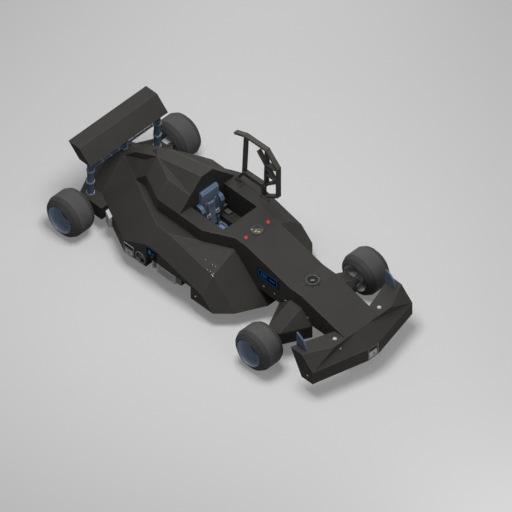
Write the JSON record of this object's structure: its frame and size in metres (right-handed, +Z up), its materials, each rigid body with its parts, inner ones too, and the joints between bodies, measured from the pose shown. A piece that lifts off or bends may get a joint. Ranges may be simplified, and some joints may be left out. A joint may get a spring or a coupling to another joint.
{
  "type": "open wheel racing car",
  "caption": "Open wheel racing car with faceted bodywork, wide slick tyres, raked rear wing on posts and a canopy frame standing open.",
  "frame": {"origin": "on the ground under the middle of the car's length and width", "axes": "+Z up, -Y towards the nose, +X to the driver's left"},
  "size_m": [2.9, 6, 2.3679],
  "materials": {
    "body": "satin dark grey paint",
    "trim": "blue grey satin paint",
    "tyre": "matte slick rubber",
    "rim": "blue grey satin paint",
    "steel": "brushed",
    "alloy": "bead blasted",
    "engine": "cast",
    "black": "matte",
    "lamp": "clear lens",
    "red": "red lens",
    "seat": "seat moulding",
    "pad": "woven cloth",
    "frame": "satin dark brown grey",
    "panel": "black panel"
  },
  "bodies": {
    "chassis": {"catch_tanks": "alloy", "coolers": "alloy", "deck_dial": "panel", "duct_rings": "alloy", "engine_block": "engine", "engine_cover": "body", "flank_lamps": "lamp", "floor_plank": "black", "front_arms": "steel", "front_fairings": "body", "front_wing": "body", "gearbox_cover": "body", "harness": "black", "hatch_hinges": "steel", "headlamp": "lamp", "headrest": "seat", "marker_lamps": "lamp", "nose_cone": "body", "nose_fins": "trim", "nose_port": "alloy", "rear_carriers": "steel", "rear_deck": "body", "rear_wing": "body", "red_lamps": "red", "seat_pads": "pad", "seat_shell": "seat", "side_panels": "panel", "sidepod_left": "body", "sidepod_right": "body", "steering_column": "steel", "tail_cowls": "body", "tub": "body", "wing_posts": "trim"},
    "knuckle_left": {"knuckle_left": "alloy"},
    "knuckle_right": {"knuckle_right": "alloy"},
    "steering_wheel": {"steering_wheel": "black"},
    "hatch_frame": {"hatch_frame": "frame"},
    "wheel_front_left": {"tyre_front_left": "tyre", "rim_front_left": "rim"},
    "wheel_front_right": {"tyre_front_right": "tyre", "rim_front_right": "rim"},
    "wheel_rear_left": {"tyre_rear_left": "tyre", "rim_rear_left": "rim"},
    "wheel_rear_right": {"tyre_rear_right": "tyre", "rim_rear_right": "rim"}
  },
  "joints": [
    {"name": "spin_front_left", "type": "hinge", "parent": "knuckle_left", "child": "wheel_front_left", "pos_m": [1.2, -1.625, 0.375], "axis": [1, 0, 0], "continuous": true},
    {"name": "spin_front_right", "type": "hinge", "parent": "knuckle_right", "child": "wheel_front_right", "pos_m": [-1.2, -1.625, 0.375], "axis": [1, 0, 0], "continuous": true},
    {"name": "spin_rear_left", "type": "hinge", "parent": "chassis", "child": "wheel_rear_left", "pos_m": [1.2, 2.625, 0.375], "axis": [1, 0, 0], "continuous": true},
    {"name": "spin_rear_right", "type": "hinge", "parent": "chassis", "child": "wheel_rear_right", "pos_m": [-1.2, 2.625, 0.375], "axis": [1, 0, 0], "continuous": true},
    {"name": "steer_left", "type": "hinge", "parent": "chassis", "child": "knuckle_left", "pos_m": [1.06, -1.625, 0.375], "axis": [0, 0, 1], "range_deg": [-20, 20]},
    {"name": "steer_right", "type": "hinge", "parent": "chassis", "child": "knuckle_right", "pos_m": [-1.06, -1.625, 0.375], "axis": [0, 0, 1], "range_deg": [-20, 20]},
    {"name": "steering_wheel_turn", "type": "hinge", "parent": "chassis", "child": "steering_wheel", "pos_m": [0, 0.075, 0.965], "axis": [0, 0.9781, 0.2079], "range_deg": [-121, 121]},
    {"name": "hatch_hinge", "type": "hinge", "parent": "chassis", "child": "hatch_frame", "pos_m": [0.585, 0.3, 1.28], "axis": [0, -1, 0], "range_deg": [0, 90]}
  ],
  "couplings": [
    {"joint": "steer_right", "follows": "steer_left", "ratio": 1},
    {"joint": "steering_wheel_turn", "follows": "steer_left", "ratio": 6}
  ]
}
